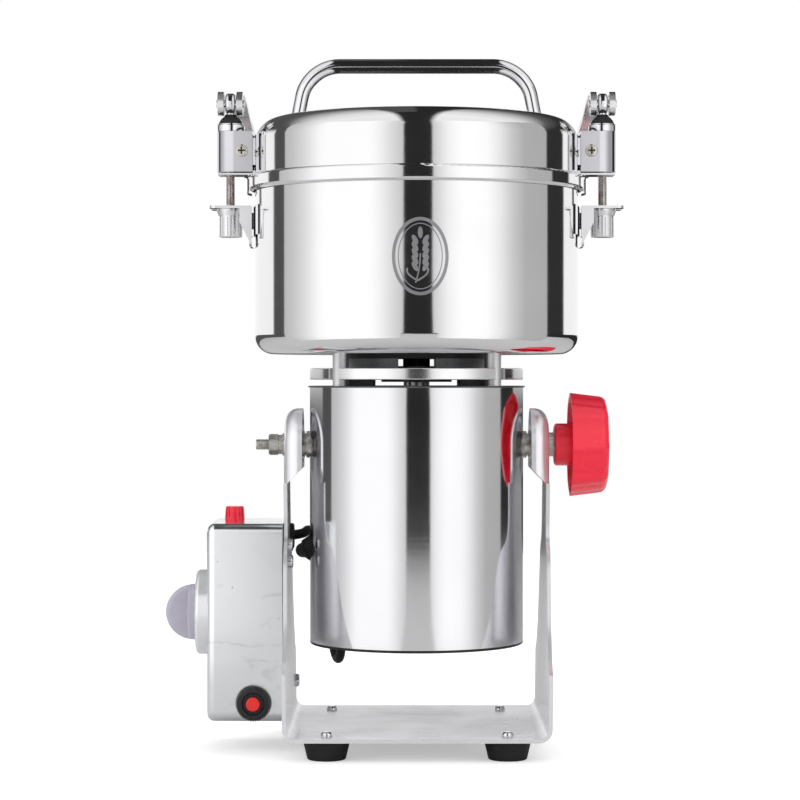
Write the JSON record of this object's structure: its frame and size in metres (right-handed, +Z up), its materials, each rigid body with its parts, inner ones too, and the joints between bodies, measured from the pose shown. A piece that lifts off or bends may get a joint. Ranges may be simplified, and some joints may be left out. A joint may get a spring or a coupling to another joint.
{
  "type": "electric grain mill",
  "caption": "Countertop dry-grain mill: a round steel bowl with a clamped lid on a motor head that tilts between the uprights of a bent sheet frame with a switch box.",
  "frame": {"origin": "on the plane under the feet, straight below the bowl's axis", "axes": "+Z up along the motor and bowl axis, -Y to the front, +X along the pivots towards the locking knob"},
  "size_m": [0.2462, 0.18, 0.37],
  "materials": {
    "frame_sheet": "polished stainless sheet, a little soft",
    "box_sheet": "polished stainless sheet with faint marks",
    "black_rubber": "moulded, satin",
    "polished_steel": "mirror-polished stainless sheet",
    "sleeve_steel": "polished stainless sheet with a faint grain",
    "plated_steel": "bright plated",
    "zinc_steel": "zinc-plated fastener",
    "cast_alloy": "as cast, dark grey",
    "bright_alloy": "turned, satin",
    "black_plastic": "moulded, satin",
    "red_plastic": "moulded, glossy",
    "grey_plastic": "moulded, satin",
    "white_plastic": "moulded, satin",
    "iron": "laminated electrical sheet",
    "copper": "enamelled copper wire",
    "brass": "pressed",
    "carbon": "pressed graphite",
    "silicone": "moulded, matte",
    "pressed_nut": "bright, fine ribs"
  },
  "bodies": {
    "frame": {"frame_bracket": "frame_sheet", "rubber_feet": "black_rubber", "foot_screws": "zinc_steel", "bracket_screws": "zinc_steel", "control_box_shell": "box_sheet", "control_box_backplate": "box_sheet", "timer_bezel": "bright_alloy", "timer_module": "white_plastic", "power_switch_body": "black_plastic", "overload_protector_body": "black_plastic", "overload_ring_nut": "black_plastic", "cord_grommets": "black_rubber", "motor_lead": "black_rubber"},
    "head": {"motor_housing": "sleeve_steel", "motor_bottom_cap": "black_plastic", "motor_top_cap": "cast_alloy", "stator_core": "iron", "stator_windings": "copper", "brush_holders": "brass", "carbon_brushes": "carbon", "shaft_bearings": "zinc_steel", "motor_lead_boot": "black_rubber", "adaptor_plate": "bright_alloy", "bearing_hub": "cast_alloy", "hub_gasket": "black_rubber", "bowl_standoffs": "bright_alloy", "bowl": "polished_steel", "bowl_screws": "zinc_steel", "shaft_seal": "black_rubber", "bowl_brackets": "plated_steel", "pivot_bosses": "zinc_steel", "pivot_stud": "zinc_steel", "pivot_nut_and_washers": "zinc_steel"},
    "rotor": {"motor_shaft": "zinc_steel", "armature": "iron", "commutator": "copper", "cooling_fan": "black_plastic", "lower_blade": "polished_steel", "upper_blade": "polished_steel", "blade_spacers": "zinc_steel", "blade_nut": "zinc_steel"},
    "lid": {"lid_shell": "polished_steel", "lid_gasket": "silicone", "lid_handle": "plated_steel", "lid_ears": "plated_steel", "clamp_housings": "plated_steel", "clamp_screws": "zinc_steel"},
    "star_knob": {"locking_knob": "red_plastic", "locking_stud": "zinc_steel"},
    "timer_dial": {"timer_knob": "grey_plastic"},
    "power_key": {"power_button": "red_plastic"},
    "reset_key": {"reset_button": "red_plastic"},
    "clamp_left": {"clamp_rod_left": "plated_steel", "clamp_dome_left": "black_rubber"},
    "lever_left": {"clamp_lever_left": "plated_steel"},
    "nut_left": {"clamp_nut_left": "pressed_nut"},
    "clamp_right": {"clamp_rod_right": "plated_steel", "clamp_dome_right": "black_rubber"},
    "lever_right": {"clamp_lever_right": "plated_steel"},
    "nut_right": {"clamp_nut_right": "pressed_nut"}
  },
  "joints": [
    {"name": "head_tilt", "type": "hinge", "parent": "frame", "child": "head", "pos_m": [0, 0, 0.1623], "axis": [1, 0, 0], "range_deg": [-105, 105], "deforming": ["motor_lead"]},
    {"name": "rotor_spin", "type": "hinge", "parent": "head", "child": "rotor", "pos_m": [0, 0, 0.12], "axis": [0, 0, 1], "continuous": true},
    {"name": "lid_lift", "type": "slide", "parent": "head", "child": "lid", "axis": [0, 0, 1], "range_m": [0, 0.12]},
    {"name": "star_knob_turn", "type": "hinge", "parent": "head", "child": "star_knob", "pos_m": [0.09, 0, 0.1623], "axis": [1, 0, 0], "continuous": true},
    {"name": "timer_turn", "type": "hinge", "parent": "frame", "child": "timer_dial", "pos_m": [-0.12, 0, 0.072], "axis": [1, 0, 0], "range_deg": [0, 300]},
    {"name": "power_press", "type": "slide", "parent": "frame", "child": "power_key", "axis": [0, 0, -1], "range_m": [0, 0.0025], "stiffness_N_per_m": 300},
    {"name": "reset_press", "type": "slide", "parent": "frame", "child": "reset_key", "axis": [0, 1, 0], "range_m": [0, 0.0018], "stiffness_N_per_m": 400},
    {"name": "clamp_swing_left", "type": "hinge", "parent": "lid", "child": "clamp_left", "pos_m": [-0.1003, 0, 0.3335], "axis": [0, 1, 0], "range_deg": [0, 25]},
    {"name": "clamp_lever_left_lift", "type": "hinge", "parent": "clamp_left", "child": "lever_left", "pos_m": [-0.1003, 0, 0.346], "axis": [1, 0, 0], "range_deg": [0, 100]},
    {"name": "nut_travel_left", "type": "slide", "parent": "clamp_left", "child": "nut_left", "axis": [0, 0, -1], "range_m": [0, 0.0045]},
    {"name": "clamp_swing_right", "type": "hinge", "parent": "lid", "child": "clamp_right", "pos_m": [0.1003, 0, 0.3335], "axis": [0, -1, 0], "range_deg": [0, 25]},
    {"name": "clamp_lever_right_lift", "type": "hinge", "parent": "clamp_right", "child": "lever_right", "pos_m": [0.1003, 0, 0.346], "axis": [1, 0, 0], "range_deg": [0, 100]},
    {"name": "nut_travel_right", "type": "slide", "parent": "clamp_right", "child": "nut_right", "axis": [0, 0, -1], "range_m": [0, 0.0045]}
  ],
  "couplings": [
    {"joint": "nut_travel_left", "follows": "clamp_swing_left", "m_per_rad": 0.010313},
    {"joint": "nut_travel_right", "follows": "clamp_swing_right", "m_per_rad": 0.010313}
  ]
}
